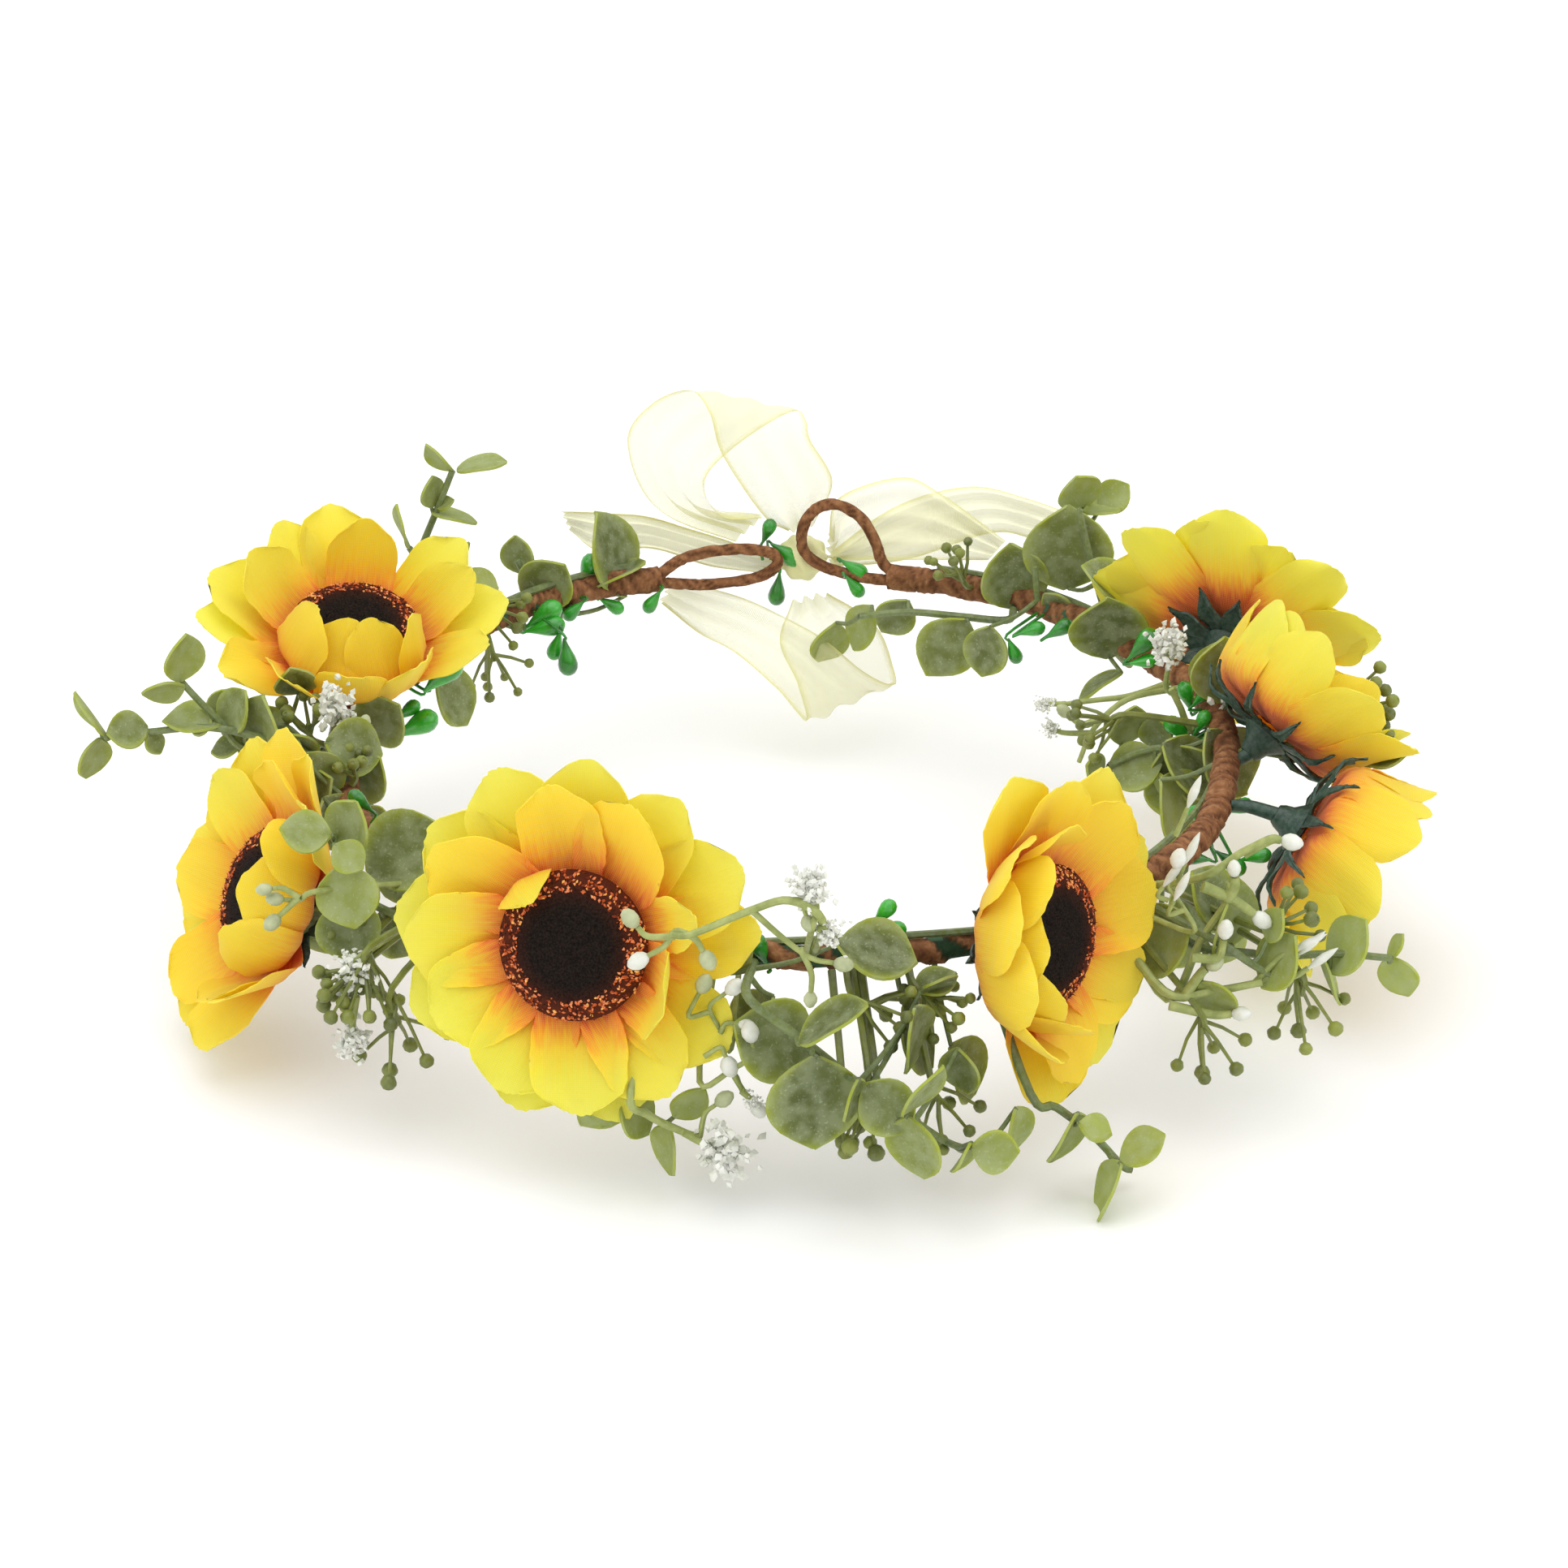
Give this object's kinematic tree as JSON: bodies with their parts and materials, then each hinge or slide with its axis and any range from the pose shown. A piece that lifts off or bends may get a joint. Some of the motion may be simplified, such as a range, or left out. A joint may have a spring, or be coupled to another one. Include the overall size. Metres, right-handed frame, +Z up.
{
  "type": "flower crown",
  "caption": "Round wire headband wrapped in paper twist, set with artificial sunflowers on turning pegs and leafy sprigs, and closed at the back by a sheer ribbon.",
  "frame": {"origin": "centre of the circle of the band, in the plane of the band's wire", "axes": "+Z up as worn, through the head opening; +Y to the back of the head, where the ribbon closes the band; +X to the side so that the axes are right-handed"},
  "size_m": [0.2773, 0.2439, 0.0827],
  "materials": {
    "steel_wire": "drawn annealed wire",
    "floral_tape": "waxed dark green crepe",
    "paper_wrap": "matt brown twisted paper",
    "calyx_plastic": "satin moulded, ribbed",
    "petal_fabric": "woven polyester, dyed orange to lemon",
    "seed_flock": "flocked, with a crumbed rust rim",
    "leaf_plastic": "frosted bloom over grey green",
    "bud_plastic": "satin pale green with white crumbs",
    "seed_plastic": "satin olive",
    "pip_plastic": "glossy lacquer",
    "organza": "sheer plain weave with a cord edge"
  },
  "bodies": {
    "root": {"babys_breath_front": "bud_plastic", "babys_breath_front_low": "bud_plastic", "babys_breath_left": "bud_plastic", "babys_breath_right": "bud_plastic", "band_paper_wrap": "paper_wrap", "band_tape": "floral_tape", "band_wire": "steel_wire", "eucalyptus_back_left": "leaf_plastic", "eucalyptus_back_left_tall": "leaf_plastic", "eucalyptus_back_right": "leaf_plastic", "eucalyptus_front": "leaf_plastic", "eucalyptus_front_right": "leaf_plastic", "eucalyptus_left": "leaf_plastic", "eucalyptus_left_front": "leaf_plastic", "eucalyptus_left_high": "leaf_plastic", "eucalyptus_left_low": "leaf_plastic", "eucalyptus_right_high": "leaf_plastic", "eucalyptus_right_inner": "leaf_plastic", "eucalyptus_right_low": "leaf_plastic", "flower_1_calyx": "calyx_plastic", "flower_2_calyx": "calyx_plastic", "flower_3_calyx": "calyx_plastic", "flower_4_calyx": "calyx_plastic", "flower_5_calyx": "calyx_plastic", "flower_6_calyx": "calyx_plastic", "flower_7_calyx": "calyx_plastic", "pip_garland_left": "pip_plastic", "pip_garland_right": "pip_plastic", "ribbon_knot": "organza", "ribbon_loop_low": "organza", "ribbon_loop_right": "organza", "ribbon_loop_top": "organza", "ribbon_tail_left": "organza", "ribbon_tail_right": "organza", "seed_sprig_front": "seed_plastic", "seed_sprig_left": "seed_plastic", "seed_sprig_right": "seed_plastic", "tie_eye_left": "paper_wrap", "tie_eye_right": "paper_wrap"},
    "flower_1_head": {"flower_1_petals_back": "petal_fabric", "flower_1_petals_front": "petal_fabric", "flower_1_seed_disc": "seed_flock"},
    "flower_2_head": {"flower_2_petals_back": "petal_fabric", "flower_2_petals_front": "petal_fabric", "flower_2_seed_disc": "seed_flock"},
    "flower_3_head": {"flower_3_petals_back": "petal_fabric", "flower_3_petals_front": "petal_fabric", "flower_3_seed_disc": "seed_flock"},
    "flower_4_head": {"flower_4_petals_back": "petal_fabric", "flower_4_petals_front": "petal_fabric", "flower_4_seed_disc": "seed_flock"},
    "flower_5_head": {"flower_5_petals_back": "petal_fabric", "flower_5_petals_front": "petal_fabric", "flower_5_seed_disc": "seed_flock"},
    "flower_6_head": {"flower_6_petals_back": "petal_fabric", "flower_6_petals_front": "petal_fabric", "flower_6_seed_disc": "seed_flock"},
    "flower_7_head": {"flower_7_petals_back": "petal_fabric", "flower_7_petals_front": "petal_fabric", "flower_7_seed_disc": "seed_flock"}
  },
  "joints": [
    {"name": "flower_1_turn", "type": "hinge", "parent": "root", "child": "flower_1_head", "pos_m": [-0.039, -0.099, 0.007], "axis": [-0.2139, -0.9267, 0.309], "continuous": true},
    {"name": "flower_2_turn", "type": "hinge", "parent": "root", "child": "flower_2_head", "pos_m": [0.047, -0.093, 0.005], "axis": [0.7319, -0.659, 0.1736], "continuous": true},
    {"name": "flower_3_turn", "type": "hinge", "parent": "root", "child": "flower_3_head", "pos_m": [-0.101, -0.052, -0.009], "axis": [-0.7488, -0.4679, 0.4695], "continuous": true},
    {"name": "flower_4_turn", "type": "hinge", "parent": "root", "child": "flower_4_head", "pos_m": [-0.09202, 0.024, 0.0125], "axis": [0.0706, -0.4006, 0.9135], "continuous": true},
    {"name": "flower_5_turn", "type": "hinge", "parent": "root", "child": "flower_5_head", "pos_m": [0.09798, 0.04299, 0.006], "axis": [0.4636, 0.803, 0.3746], "continuous": true},
    {"name": "flower_6_turn", "type": "hinge", "parent": "root", "child": "flower_6_head", "pos_m": [0.10296, -0.003, 0.007], "axis": [0.6824, 0.394, 0.6157], "continuous": true},
    {"name": "flower_7_turn", "type": "hinge", "parent": "root", "child": "flower_7_head", "pos_m": [0.10804, -0.03102, -0.005], "axis": [0.8529, -0.2285, -0.4695], "continuous": true}
  ]
}
